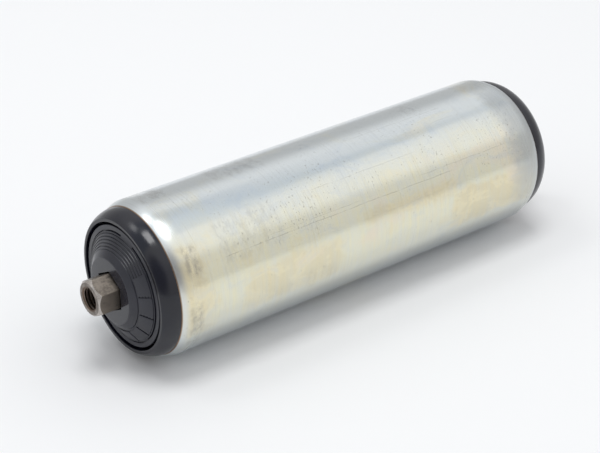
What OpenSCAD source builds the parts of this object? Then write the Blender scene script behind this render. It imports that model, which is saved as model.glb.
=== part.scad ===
// Gravity conveyor roller, built as it comes apart on a bench: a steel tube with
// rolled-in ends, which turns on two shielded ball bearings about a fixed
// hexagonal shaft. A labyrinth seal closes each end.
// Millimetres. The origin is the middle of the roller on its axis, +X runs along
// the shaft and +Z is up. Every end piece is drawn once, with its own axis along
// Z and "out" measured from the middle of the roller, and is then laid at an end.

/* [Tube] */
// Outside diameter of the tube
tube_d = 50; // [49:0.5:56]
// Wall thickness of the tube
tube_wall = 1.5; // [1.2:0.1:1.8]
// Length of the tube over its rolled-in edges
tube_len = 146; // [120:2:600]
// Length over which each edge of the tube is rolled in
roll_len = 3.8; // [3.5:0.1:5.5]
// How far the rolled edge comes in from the tube's surface
roll_drop = 1.4; // [1.1:0.1:1.6]

/* [Shaft] */
// Size of the hexagonal shaft across its flats
hex_af = 11; // [10.5:0.1:12]
// How far the shaft stands out of each hub face
shaft_out = 7.2; // [4:0.1:20]
// Core diameter of the threaded hole in each end of the shaft
thread_core_d = 6.8; // [5:0.1:7.2]
// Depth of the threaded hole, without its drill point
thread_depth = 20; // [16:0.5:30]
// How far the end face is smaller than the flats, on the radius
end_chamfer = 0.35; // [0.1:0.05:0.6]

/* [Bearing] */
// Bore of the bearing
bearing_bore = 15; // [14:0.5:16]
// Outside diameter of the bearing
bearing_od = 32; // [30:0.5:33]
// Width of the bearing
bearing_w = 9; // [8:0.5:11]
// Diameter of one ball
ball_d = 4.762; // [4.2:0.001:5]
// Number of balls in each bearing
ball_count = 9; // [7:1:9]

/* [Bearing housing] */
// Length of the plug inside the tube
plug_len = 23; // [20:0.5:30]
// How far the flange stands out of the tube's edge
flange_len = 5.5; // [4.8:0.1:6.2]
// How far the flange falls from the tube's edge to its lip
lip_fall = 2.1; // [1.7:0.1:2.6]
// Width of the flat lip
lip_w = 1.05; // [0.8:0.05:1.3]
// Depth of the well inside the lip
well_depth = 5.7; // [5.2:0.1:6.2]
// Thickness of the plug's walls
plug_wall = 2; // [1.6:0.1:2.4]
// Number of ribs between the plug's two walls
plug_ribs = 12; // [6:1:16]

/* [Seal disc] */
// Gap between the lip and the disc
disc_gap = 0.95; // [0.6:0.05:1.2]
// How far the disc's rim lies below the lip
rim_inset = 0.35; // [0.1:0.05:0.6]
// Width of the disc's plain rim
rim_w = 1.5; // [1.2:0.1:2]
// Rise of the ridged cone from the rim to the hub
cone_rise = 3; // [2:0.1:4]
// Height of the hub above the ridged cone
hub_rise = 1.65; // [1:0.05:2.5]
// Diameter of the hub's face
hub_face_d = 21.2; // [20.5:0.1:22]
// Number of fine grooves between the rim and the hub
fine_grooves = 5; // [3:1:6]
// Number of plain raised pads on the ridged cone
pad_count = 5; // [1:1:6]
// Share of each step of the labyrinth that its rib takes up
rib_share = 0.57; // [0.45:0.01:0.62]

/* [Fits] */
// Gap between pieces that are pushed together, on the radius
push_gap = 0.02; // [0.01:0.01:0.05]
// Running clearance between a ball and its race
ball_gap = 0.06; // [0.04:0.01:0.1]
// Clearance between the shaft's flats and its bush
bush_gap = 0.05; // [0.02:0.01:0.1]
// Clearance between the shaft's flats and the hole in the hub
hub_gap = 0.5; // [0.3:0.05:0.6]

/* [Hidden] */
$fn = 96;
left = -1;
right = 1;
cut = 1; // how far a cutting shape runs past the face that it cuts
hex_corner = 1 / cos(30); // corner radius of a hexagon over half its flats

// Radii of the tube
tube_r = tube_d / 2;
tube_in_r = tube_r - tube_wall;
edge_r = tube_r - roll_drop;
roll_lead = 0.5; // how far the roll's centre lies inboard of where it starts
roll_rise = (roll_len * (roll_len + 2 * roll_lead) + pow(roll_drop, 2)) / (2 * roll_drop);
roll_r = sqrt(pow(roll_rise, 2) + pow(roll_lead, 2));
roll_centre_r = tube_r - roll_rise;

// Places along the axis, from the middle outwards
tube_end = tube_len / 2;
roll_centre = tube_end - roll_len - roll_lead;
plug_start = tube_end - plug_len;
lip_face = tube_end + flange_len;
well_floor = lip_face - well_depth;
bearing_inset = 1.8;
bearing_out = well_floor - bearing_inset;
bearing_in = bearing_out - bearing_w;
bearing_mid = (bearing_in + bearing_out) / 2;
rim_face = lip_face - rim_inset;
hub_foot = rim_face + cone_rise;
hub_face = hub_foot + hub_rise;
shaft_end = hub_face + shaft_out;

// Bearing
bore_r = bearing_bore / 2;
outer_r = bearing_od / 2;
ball_r = ball_d / 2;
pitch_r = (bore_r + outer_r) / 2;
race_r = 0.52 * ball_d; // radius of the races' section
inner_race_r = pitch_r - ball_r - ball_gap;
outer_race_r = pitch_r + ball_r + ball_gap;
inner_land_r = pitch_r - 0.315 * ball_d;
outer_land_r = pitch_r + 0.315 * ball_d;
ring_chamfer = 0.4;
shield_t = 0.45;
shield_gap = 0.3; // running gap between a shield and the inner ring
shield_seat_r = outer_land_r + 0.9;
shield_seat_depth = 0.95;
shield_joggle = 0.2;
shield_rim_w = 1.1;
cage_wall = 1.8;
cage_gap = 0.14; // play of a ball in its pocket
cage_back = ball_r + 0.4;
cage_front = 0.68 * ball_r;
cage_slot = 1.3;

// Flange and well of the housing
lip_r = edge_r - lip_fall;
well_r = lip_r - lip_w;
flange_arc_r = (pow(flange_len, 2) + pow(lip_fall, 2)) / (2 * lip_fall);
lip_chamfer = 0.2;
web_t = 2.6;
pocket_r = outer_r + push_gap;
pocket_wall_r = pocket_r + plug_wall;
shoulder_r = outer_r - 1.8;
shoulder_t = 2;
bead_h = 0.3; // snap bead that keeps the bearing in its pocket
bead_r = 0.55;
sleeve_r = tube_in_r - push_gap;
rib_t = 1.2;
rib_inset = 4;

// Seal disc
disc_r = well_r - disc_gap;
disc_t = 1.6;
rim_in_r = disc_r - rim_w;
hub_r = hub_face_d / 2;
hub_flare = 2.1; // how far the hub widens to its foot
hub_foot_r = hub_r + hub_flare;
cone_slope = cone_rise / (rim_in_r - hub_foot_r);
groove_pitch = (rim_in_r - hub_foot_r) / (fine_grooves + 1);
groove_w = 0.42 * groove_pitch;
groove_depth = 0.3;
rim_groove_w = 0.42;
rim_groove_depth = 0.75;
bridge = [2, 22]; // where the rim's groove is left out, in degrees from the top
pad_first = 62.5; // middle of the first pad, in degrees from the top
pad_pitch = 25;
pad_arc = 23;
pad_h = 0.28;
pad_margin = 0.75; // grooves' pitches left free at each end of a pad
rib_pitch = 0.4 * (disc_r - pocket_r);
labyrinth_rib = rib_share * rib_pitch;
labyrinth_gap = rib_pitch - labyrinth_rib;
rib_end = well_floor + labyrinth_gap;
bush_r = bore_r - push_gap;
spigot_r = bore_r + 2.1;
nose_out = bearing_out + 4;

// Bush and clip
flange_t = 1.7;
flange_r = bush_r + 1.5;
bush_in = bearing_in - flange_t;
clip_t = 1;
clip_w = 2.3;
clip_groove_r = hex_af / 2 + 0.2;
clip_groove_w = clip_t + 0.1;
clip_mouth = 60; // opening of the clip, in degrees
thread_r = thread_core_d / 2;
mouth_chamfer = 0.8;
drill_point = thread_r / tan(59);

// Lays what is drawn about Z along the roller's axis, at the left or right end.
module at_end(side) {
    rotate([0, 0, side == left ? 180 : 0])
        rotate([0, 90, 0]) children();
}

// A wedge about Z between two angles from the top, seen from outside the end.
module sector(from, to, r, low, high) {
    middle = (from + to) / 2;
    reach = r / cos((to - from) / 2);
    translate([0, 0, low])
        linear_extrude(high - low)
            polygon([[0, 0],
                [-reach * cos(from), reach * sin(from)],
                [-reach * cos(middle), reach * sin(middle)],
                [-reach * cos(to), reach * sin(to)]]);
}

// A hexagonal prism with two corners on the X axis.
module hex_prism(af, low, high) {
    translate([0, 0, low])
        cylinder(r = af / 2 * hex_corner, h = high - low, $fn = 6);
}

// A box in a section, between two radii and two places along the axis.
module band(r_in, r_out, low, high) {
    translate([r_in, low]) square([r_out - r_in, high - low]);
}

// What the rolled edge takes away from a straight wall that lies inset deep.
module rolled_corner(inset) {
    difference() {
        band(roll_centre_r, tube_r + cut, roll_centre, tube_end + 2 * cut);
        translate([roll_centre_r, roll_centre]) circle(roll_r - inset);
    }
}

// Outline of the tube's wall at a depth of inset, filled to the axis.
module tube_outline(inset, extra) {
    difference() {
        band(0, tube_r - inset, -tube_end - extra, tube_end + extra);
        rolled_corner(inset);
        mirror([0, 1]) rolled_corner(inset);
    }
}

module tube() {
    color("#c3c4bd")
        rotate([0, 90, 0])
            rotate_extrude()
                difference() {
                    tube_outline(0, 0);
                    tube_outline(tube_wall, cut);
                }
}

// Where the shaft's threaded hole is cut, at the outward end.
module thread_hole() {
    rotate_extrude()
        polygon([[0, shaft_end - thread_depth - drill_point],
            [thread_r, shaft_end - thread_depth],
            [thread_r, shaft_end - mouth_chamfer],
            [thread_r + mouth_chamfer, shaft_end],
            [thread_r + mouth_chamfer, shaft_end + cut],
            [0, shaft_end + cut]]);
}

module clip_groove() {
    inner = bush_in - clip_t;
    rotate_extrude() band(clip_groove_r, hex_af, inner, inner + clip_groove_w);
}

module shaft() {
    face_r = hex_af / 2 - end_chamfer;
    corner_r = hex_af / 2 * hex_corner + end_chamfer;
    side_end = shaft_end - corner_r + face_r;
    color("#8f877c")
        difference() {
            intersection() {
                rotate([0, 90, 0]) hex_prism(hex_af, -shaft_end, shaft_end);
                rotate([0, 90, 0]) rotate_extrude()
                    polygon([[0, -shaft_end], [face_r, -shaft_end], [corner_r, -side_end],
                        [corner_r, side_end], [face_r, shaft_end], [0, shaft_end]]);
            }
            for (side = [left, right])
                at_end(side) {
                    thread_hole();
                    clip_groove();
                }
        }
}

// The flange is an arc that leaves the tube's edge along the axis.
module flange_section() {
    difference() {
        intersection() {
            translate([edge_r - flange_arc_r, tube_end]) circle(flange_arc_r);
            band(0, edge_r, tube_end, lip_face);
        }
        translate([well_r, lip_face]) rotate(45) square(lip_chamfer * sqrt(2), center = true);
        band(0, well_r, well_floor, lip_face + cut);
    }
}

// Outer sleeve, web, bearing pocket and the pocket's shoulder.
module plug_section() {
    hollow_r = sleeve_r - plug_wall;
    difference() {
        band(0, sleeve_r, plug_start, tube_end);
        rolled_corner(tube_wall + push_gap);
        band(0, pocket_r, bearing_in, tube_end + cut);
        band(0, well_r, well_floor, tube_end + cut);
        band(0, shoulder_r, plug_start - cut, tube_end);
        band(pocket_wall_r, hollow_r, plug_start - cut, well_floor - web_t);
        band(0, hollow_r, plug_start - cut, bearing_in - shoulder_t);
    }
}

// A low round bead that the bearing snaps past.
module bead_section() {
    intersection() {
        translate([pocket_r + bead_r - bead_h, bearing_out + bead_r + push_gap]) circle(bead_r);
        band(0, pocket_r + bead_h, bearing_out, well_floor);
    }
}

module plug_rib(turn) {
    inner = pocket_wall_r - plug_wall / 2;
    outer = sleeve_r - plug_wall / 2;
    low = max(plug_start + rib_inset, bearing_in - shoulder_t);
    rotate(turn)
        translate([inner, -rib_t / 2, low])
            cube([outer - inner, rib_t, well_floor - web_t / 2 - low]);
}

module bearing_housing(side) {
    rib_out = disc_r - rib_pitch;
    color("#26282b")
        at_end(side) {
            rotate_extrude() {
                flange_section();
                plug_section();
                bead_section();
                band(rib_out - labyrinth_rib, rib_out, well_floor - web_t / 2,
                    rim_face - disc_t - labyrinth_gap);
            }
            for (i = [0 : plug_ribs - 1]) plug_rib(i * 360 / plug_ribs);
        }
}

// A ring's section with its four outer corners chamfered.
module ring_blank(r_in, r_out) {
    c = ring_chamfer;
    polygon([[r_in + c, bearing_in], [r_out - c, bearing_in], [r_out, bearing_in + c],
        [r_out, bearing_out - c], [r_out - c, bearing_out], [r_in + c, bearing_out],
        [r_in, bearing_out - c], [r_in, bearing_in + c]]);
}

module outer_ring(side) {
    color("#b9bcc0")
        at_end(side)
            rotate_extrude()
                difference() {
                    ring_blank(outer_land_r - ring_chamfer, outer_r);
                    band(0, outer_land_r, bearing_in - cut, bearing_out + cut);
                    translate([outer_race_r - race_r, bearing_mid]) circle(race_r);
                    band(0, shield_seat_r, bearing_in - cut, bearing_in + shield_seat_depth);
                    band(0, shield_seat_r, bearing_out - shield_seat_depth, bearing_out + cut);
                }
}

module inner_ring(side) {
    color("#b9bcc0")
        at_end(side)
            rotate_extrude()
                difference() {
                    ring_blank(bore_r, inner_land_r);
                    translate([inner_race_r + race_r, bearing_mid]) circle(race_r);
                }
}

module balls(side) {
    color("#d9dcdf")
        at_end(side)
            for (i = [0 : ball_count - 1])
                rotate(i * 360 / ball_count)
                    translate([pitch_r, 0, bearing_mid]) sphere(ball_r);
}

// One-piece crown cage: the balls snap in between its fingers.
module cage(side) {
    step = 360 / ball_count;
    color("#3d5f86")
        at_end(side)
            difference() {
                rotate_extrude()
                    band(pitch_r - cage_wall / 2, pitch_r + cage_wall / 2,
                        bearing_mid - cage_back, bearing_mid + cage_front);
                for (i = [0 : ball_count - 1]) {
                    rotate(i * step)
                        translate([pitch_r, 0, bearing_mid]) sphere(ball_r + cage_gap);
                    rotate((i + 0.5) * step)
                        translate([pitch_r - cage_wall, -cage_slot / 2, bearing_mid - cage_slot / 4])
                            cube([2 * cage_wall, cage_slot, cage_front + cage_slot]);
                }
            }
}

// Pressed shield: a flat disc whose rim is set back into the outer ring.
// The face is where the shield lies, and toward is 1 for out and -1 for in.
module shield(side, face, toward) {
    rim_r = shield_seat_r - push_gap;
    fold_r = rim_r - shield_rim_w;
    seat = face - toward * shield_seat_depth;
    color("#a9adb1")
        at_end(side)
            translate([0, 0, seat])
                mirror([0, 0, toward > 0 ? 0 : 1])
                    rotate_extrude()
                        polygon([[rim_r, 0], [rim_r, shield_t],
                            [fold_r, shield_t], [fold_r - shield_joggle, shield_t + shield_joggle],
                            [inner_land_r + shield_gap, shield_t + shield_joggle],
                            [inner_land_r + shield_gap, shield_joggle],
                            [fold_r - shield_joggle, shield_joggle], [fold_r, 0]]);
}

// Carries the round bearing on the hexagonal shaft.
module hex_bush(side) {
    color("#e4e0d4")
        at_end(side)
            difference() {
                rotate_extrude() {
                    band(0, bush_r, bush_in, nose_out);
                    band(0, flange_r, bush_in, bearing_in);
                }
                hex_prism(hex_af + 2 * bush_gap, bush_in - cut, nose_out + cut);
            }
}

// Height of the disc's front at a radius on the ridged cone.
function cone_at(r) = rim_face + (rim_in_r - r) * cone_slope;

// The disc with its skirt and spigot, filled to the axis above the bush's nose.
module disc_outline() {
    rim_back = rim_face - disc_t;
    back_rise = (rim_in_r - spigot_r) * cone_slope;
    polygon([[0, hub_face], [hub_r, hub_face], [hub_foot_r, hub_foot],
        [rim_in_r, rim_face], [disc_r, rim_face], [disc_r, rib_end],
        [disc_r - labyrinth_rib, rib_end], [disc_r - labyrinth_rib, rim_back],
        [rim_in_r, rim_back], [spigot_r, rim_back + back_rise],
        [spigot_r, bearing_out], [bore_r, bearing_out],
        [bore_r, nose_out], [0, nose_out]]);
}

module disc_section() {
    inner_rib = disc_r - 2 * rib_pitch;
    difference() {
        union() {
            disc_outline();
            band(inner_rib - labyrinth_rib, inner_rib, rib_end, cone_at(inner_rib) - disc_t / 2);
        }
        for (i = [1 : fine_grooves]) {
            r = rim_in_r - i * groove_pitch;
            band(r - groove_w / 2, r + groove_w / 2, cone_at(r) - groove_depth,
                cone_at(r) + cut);
        }
    }
}

// A plain raised pad on the ridged cone; index counts from the top.
module pad(index) {
    middle = pad_first + index * pad_pitch;
    r_in = hub_foot_r + pad_margin * groove_pitch;
    r_out = rim_in_r - pad_margin * groove_pitch;
    intersection() {
        rotate_extrude()
            polygon([[r_in, cone_at(r_in) - disc_t / 2], [r_out, cone_at(r_out) - disc_t / 2],
                [r_out, cone_at(r_out) + pad_h], [r_in, cone_at(r_in) + pad_h]]);
        sector(middle - pad_arc / 2, middle + pad_arc / 2, disc_r, rim_face - disc_t, hub_face);
    }
}

module seal_disc(side) {
    color("#4a4c50")
        at_end(side)
            difference() {
                union() {
                    rotate_extrude() disc_section();
                    for (index = [0 : pad_count - 1]) pad(index);
                }
                difference() {
                    rotate_extrude()
                        band(rim_in_r - rim_groove_w, rim_in_r, rim_face - rim_groove_depth,
                            rim_face + cut);
                    sector(bridge[0], bridge[1], disc_r, rim_face - disc_t, hub_face);
                }
                hex_prism(hex_af + 2 * hub_gap, nose_out - cut, hub_face + cut);
            }
}

module retaining_clip(side) {
    inner = clip_groove_r + push_gap;
    color("#5b5e63")
        at_end(side)
            difference() {
                rotate_extrude() band(inner, inner + clip_w, bush_in - clip_t, bush_in);
                sector(180 - clip_mouth / 2, 180 + clip_mouth / 2, flange_r,
                    bush_in - clip_t - cut, bush_in + cut);
            }
}

tube();
shaft();
bearing_housing(left);  // left_bearing_housing
bearing_housing(right);  // right_bearing_housing
outer_ring(left);  // left_outer_ring
outer_ring(right);  // right_outer_ring
inner_ring(left);  // left_inner_ring
inner_ring(right);  // right_inner_ring
balls(left);  // left_balls
balls(right);  // right_balls
cage(left);  // left_cage
cage(right);  // right_cage
shield(left, bearing_out, 1);  // left_outboard_shield
shield(right, bearing_out, 1);  // right_outboard_shield
shield(left, bearing_in, -1);  // left_inboard_shield
shield(right, bearing_in, -1);  // right_inboard_shield
hex_bush(left);  // left_hex_bush
hex_bush(right);  // right_hex_bush
seal_disc(left);  // left_seal_disc
seal_disc(right);  // right_seal_disc
retaining_clip(left);  // left_retaining_clip
retaining_clip(right);  // right_retaining_clip
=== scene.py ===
"""Dresses a packed gravity conveyor roller for its picture.

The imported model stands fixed. What shows of the roller, its tube, shaft, bearing
housings and seal discs, is modelled again with rounded edges, fine grooves and cut
threads. The bearings, bushes and clips inside keep their own meshes and get finishes.
Sizes are in metres. The roller lies along X with its middle at the origin, and what
sits at an end is turned once at the right end and copied for the left one.
"""

import logging
import math
from collections.abc import Iterator, Sequence
from contextlib import contextmanager
from dataclasses import dataclass
from enum import Enum
from functools import cached_property
from typing import TypeAlias

import bmesh
import bpy
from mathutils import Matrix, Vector


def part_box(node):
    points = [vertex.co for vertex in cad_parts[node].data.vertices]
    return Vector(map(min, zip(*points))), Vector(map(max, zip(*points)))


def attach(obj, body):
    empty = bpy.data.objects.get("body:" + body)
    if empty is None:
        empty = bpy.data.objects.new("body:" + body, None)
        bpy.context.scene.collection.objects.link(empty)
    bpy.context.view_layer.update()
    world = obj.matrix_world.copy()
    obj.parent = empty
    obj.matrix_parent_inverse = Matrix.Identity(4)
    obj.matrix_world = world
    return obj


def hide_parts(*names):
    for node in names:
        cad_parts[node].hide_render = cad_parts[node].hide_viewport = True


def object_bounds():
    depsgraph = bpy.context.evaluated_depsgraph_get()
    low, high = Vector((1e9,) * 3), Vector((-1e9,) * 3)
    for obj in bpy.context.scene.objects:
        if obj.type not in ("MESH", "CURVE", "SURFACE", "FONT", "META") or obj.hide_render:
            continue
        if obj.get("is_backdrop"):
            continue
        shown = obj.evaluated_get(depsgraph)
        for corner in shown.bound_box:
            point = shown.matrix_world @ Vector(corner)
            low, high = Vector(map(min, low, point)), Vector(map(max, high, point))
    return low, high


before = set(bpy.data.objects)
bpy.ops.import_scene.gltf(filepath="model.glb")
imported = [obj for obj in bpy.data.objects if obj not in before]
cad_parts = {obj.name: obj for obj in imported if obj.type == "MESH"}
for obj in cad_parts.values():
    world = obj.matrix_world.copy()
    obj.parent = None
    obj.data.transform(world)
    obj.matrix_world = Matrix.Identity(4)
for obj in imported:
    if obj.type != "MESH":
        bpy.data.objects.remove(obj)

Colour: TypeAlias = tuple[float, float, float, float]
Socket: TypeAlias = bpy.types.NodeSocket
Level: TypeAlias = float | bpy.types.NodeSocket

MM = 0.001
TINY = 1e-6
EASE_STEPS = 4
HALF_TURN = 180
FULL_TURN = 360
POWER_PER_RADIANCE = 4.0
log = logging.getLogger("conveyor_roller")


class End(Enum):
    """The two ends of the roller, by the word that their nodes' names start with."""

    LEFT = "left"
    RIGHT = "right"

    def node(self, part: str) -> str:
        """The name of this end's node of a part."""
        return f"{self.value}_{part}"


# ---------------------------------------------------------------- modelling


@dataclass(frozen=True)
class Corner:
    """One corner of a turned section.

    Attributes:
        x: Place along the roller's axis.
        r: Distance from the axis.
        ease: How far back on each side the corner is rounded over.
    """

    x: float
    r: float
    ease: float = 0.0


def arc(x: float, r: float, radius: float, start: float, stop: float, steps: int) -> list[Corner]:
    """Corners along an arc of a section.

    Args:
        x: Place of the arc's centre along the axis.
        r: Distance of the centre from the axis.
        radius: Radius of the arc.
        start: Angle of the first corner in radians, from straight out towards +X.
        stop: Angle of the last corner.
        steps: Number of steps from the first corner to the last.

    Returns:
        The corners from start to stop.
    """
    angles = [start + (stop - start) * i / steps for i in range(steps + 1)]
    return [Corner(x + radius * math.sin(a), r + radius * math.cos(a)) for a in angles]


def only(obj: bpy.types.Object) -> None:
    """Selects an object alone and makes it active.

    Args:
        obj: The object.
    """
    bpy.ops.object.select_all(action="DESELECT")
    obj.select_set(True)
    bpy.context.view_layer.objects.active = obj


@contextmanager
def shaping(obj: bpy.types.Object) -> Iterator[bmesh.types.BMesh]:
    """Opens an object's mesh for shaping, with nothing in it selected.

    Args:
        obj: The object to shape.

    Yields:
        The mesh that is open, for picking out vertices, edges and faces.
    """
    only(obj)
    bpy.ops.object.mode_set(mode="EDIT")
    bpy.ops.mesh.select_all(action="DESELECT")
    yield bmesh.from_edit_mesh(obj.data)
    bpy.ops.object.mode_set(mode="OBJECT")


def settle(obj: bpy.types.Object, name: str) -> bpy.types.Object:
    """Names an object and its mesh and puts its place into its mesh.

    Args:
        obj: The object.
        name: Its name.

    Returns:
        The object, at the origin, unturned and unscaled.
    """
    obj.name = name
    obj.data.name = name
    only(obj)
    bpy.ops.object.transform_apply(location=True, rotation=True, scale=True)
    return obj


def section(corners: Sequence[Corner], at: float) -> bpy.types.Object:
    """Draws a closed section as a loop of edges.

    Args:
        corners: The section's corners in order.
        at: Angle of the section round the axis, in radians from the top towards +Y.

    Returns:
        The object that holds the loop, with its corners rounded.
    """
    def place(corner: Corner) -> Vector:
        """Where a corner lies in the section's plane."""
        return Vector((corner.x, corner.r * math.sin(at), corner.r * math.cos(at)))

    bpy.ops.object.select_all(action="DESELECT")
    bpy.ops.mesh.primitive_plane_add(size=MM, location=place(corners[0]))
    obj = settle(bpy.context.object, "section")
    with shaping(obj) as mesh:
        bpy.ops.mesh.select_all(action="SELECT")
        bpy.ops.mesh.merge(type="CENTER")
        for here, there in zip(corners, [*corners[1:], corners[0]]):
            step = place(there) - place(here)
            bpy.ops.mesh.extrude_region_move(TRANSFORM_OT_translate={"value": step})
        bpy.ops.mesh.select_all(action="SELECT")
        bpy.ops.mesh.remove_doubles(threshold=TINY)
        for ease in sorted({corner.ease for corner in corners} - {0.0}):
            bpy.ops.mesh.select_all(action="DESELECT")
            eased = [place(corner) for corner in corners if corner.ease == ease]
            mesh = bmesh.from_edit_mesh(obj.data)
            for vertex in mesh.verts:
                vertex.select = any((vertex.co - spot).length < TINY for spot in eased)
            bpy.ops.mesh.bevel(affect="VERTICES", offset=ease, segments=EASE_STEPS)
    return obj


def turn(
    name: str,
    corners: Sequence[Corner],
    steps: int = 192,
    at: float = 0.0,
    sweep: float = math.tau,
) -> bpy.types.Object:
    """Turns a closed section about the roller's axis into a solid.

    Args:
        name: Name of the new object.
        corners: The section's corners in order.
        steps: Number of steps in the sweep.
        at: Angle where the sweep starts, in radians from the top towards +Y.
        sweep: Angle of the sweep, a whole turn or less.

    Returns:
        The solid, with its faces pointing outwards.
    """
    obj = settle(section(corners, at), name)
    with shaping(obj):
        bpy.ops.mesh.select_all(action="SELECT")
        if sweep < math.tau:
            bpy.ops.mesh.edge_face_add()
        bpy.ops.mesh.spin(steps=steps, angle=sweep, center=(0, 0, 0), axis=(1, 0, 0))
        bpy.ops.mesh.select_all(action="SELECT")
        bpy.ops.mesh.remove_doubles(threshold=TINY)
        bpy.ops.mesh.normals_make_consistent(inside=False)
    return obj


def combine(body: bpy.types.Object, tool: bpy.types.Object, operation: str) -> None:
    """Cuts a tool from a body, or adds or keeps only what they share, and removes the tool.

    Args:
        body: The object that is changed.
        tool: The object that shapes it.
        operation: DIFFERENCE, UNION or INTERSECT.
    """
    only(body)
    modifier = body.modifiers.new(operation.title(), "BOOLEAN")
    modifier.operation = operation
    modifier.solver = "EXACT"
    modifier.object = tool
    bpy.ops.object.modifier_apply(modifier=modifier.name)
    bpy.data.objects.remove(tool, do_unlink=True)


def ease_edges(obj: bpy.types.Object, width: float, sharper_than: float, segments: int = 2) -> None:
    """Rounds an object's sharp edges.

    Args:
        obj: The object to round.
        width: Width of the rounding.
        sharper_than: Angle in degrees past which an edge is rounded.
        segments: Number of steps in the rounding.
    """
    only(obj)
    modifier = obj.modifiers.new("Ease", "BEVEL")
    modifier.width = width
    modifier.segments = segments
    modifier.limit_method = "ANGLE"
    modifier.angle_limit = math.radians(sharper_than)
    bpy.ops.object.modifier_apply(modifier=modifier.name)


def smooth(obj: bpy.types.Object, angle: float = 30.0) -> None:
    """Shades an object smooth where its faces meet at less than an angle in degrees."""
    only(obj)
    bpy.ops.object.shade_smooth_by_angle(angle=math.radians(angle))


def join(body: bpy.types.Object, parts: Sequence[bpy.types.Object]) -> None:
    """Joins loose shells into one object with a body.

    Args:
        body: The object that takes them in.
        parts: The shells.
    """
    only(body)
    for part in parts:
        part.select_set(True)
    bpy.ops.object.join()


def copy_turned(obj: bpy.types.Object, name: str, axis: str, degrees: float) -> bpy.types.Object:
    """Copies an object with its own mesh and turns the copy about an axis through the origin.

    Args:
        obj: The object to copy.
        name: Name of the copy.
        axis: X or Z.
        degrees: Angle of the turn. About X it runs from the top towards +Y.

    Returns:
        The copy, with its turn in its mesh.
    """
    only(obj)
    bpy.ops.object.duplicate(linked=False)
    copy = settle(bpy.context.object, name)
    with shaping(copy):
        bpy.ops.mesh.select_all(action="SELECT")
        bpy.ops.transform.rotate(value=math.radians(degrees), orient_axis=axis,
                                 center_override=(0, 0, 0))
    return copy


def hex_bar(name: str, flats: float, low: float, high: float) -> bpy.types.Object:
    """Makes a hexagonal bar along the roller's axis with a corner on top.

    Args:
        name: Name of the new object.
        flats: Size across the flats.
        low: Place of one end along the axis.
        high: Place of the other end.

    Returns:
        The bar.
    """
    sides = 6
    bpy.ops.object.select_all(action="DESELECT")
    bpy.ops.mesh.primitive_cylinder_add(
        vertices=sides, radius=flats / 2 / math.cos(math.pi / sides), depth=high - low,
        location=((low + high) / 2, 0, 0), rotation=(0, math.pi / 2, 0))
    bar = settle(bpy.context.object, name)
    with shaping(bar):
        bpy.ops.mesh.select_all(action="SELECT")
        bpy.ops.transform.rotate(value=math.pi / 2, orient_axis="X", center_override=(0, 0, 0))
    return bar


# ---------------------------------------------------------------- finishes


@dataclass(frozen=True)
class Grain:
    """A cloudy pattern with levels between 0 and 1.

    Attributes:
        per_metre: Number of its features per metre along X, Y and Z.
        detail: Number of finer layers in it.
        rough: How strong the finer layers are.
        bend: How far it is warped.
    """

    per_metre: tuple[float, float, float]
    detail: float = 2.0
    rough: float = 0.5
    bend: float = 0.0


@dataclass(frozen=True)
class Fade:
    """An eased change from one level to another.

    Attributes:
        start: Value where the change starts.
        stop: Value where it ends.
        low: Level at the start.
        high: Level at the end.
    """

    start: float
    stop: float
    low: float = 0.0
    high: float = 1.0


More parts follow.
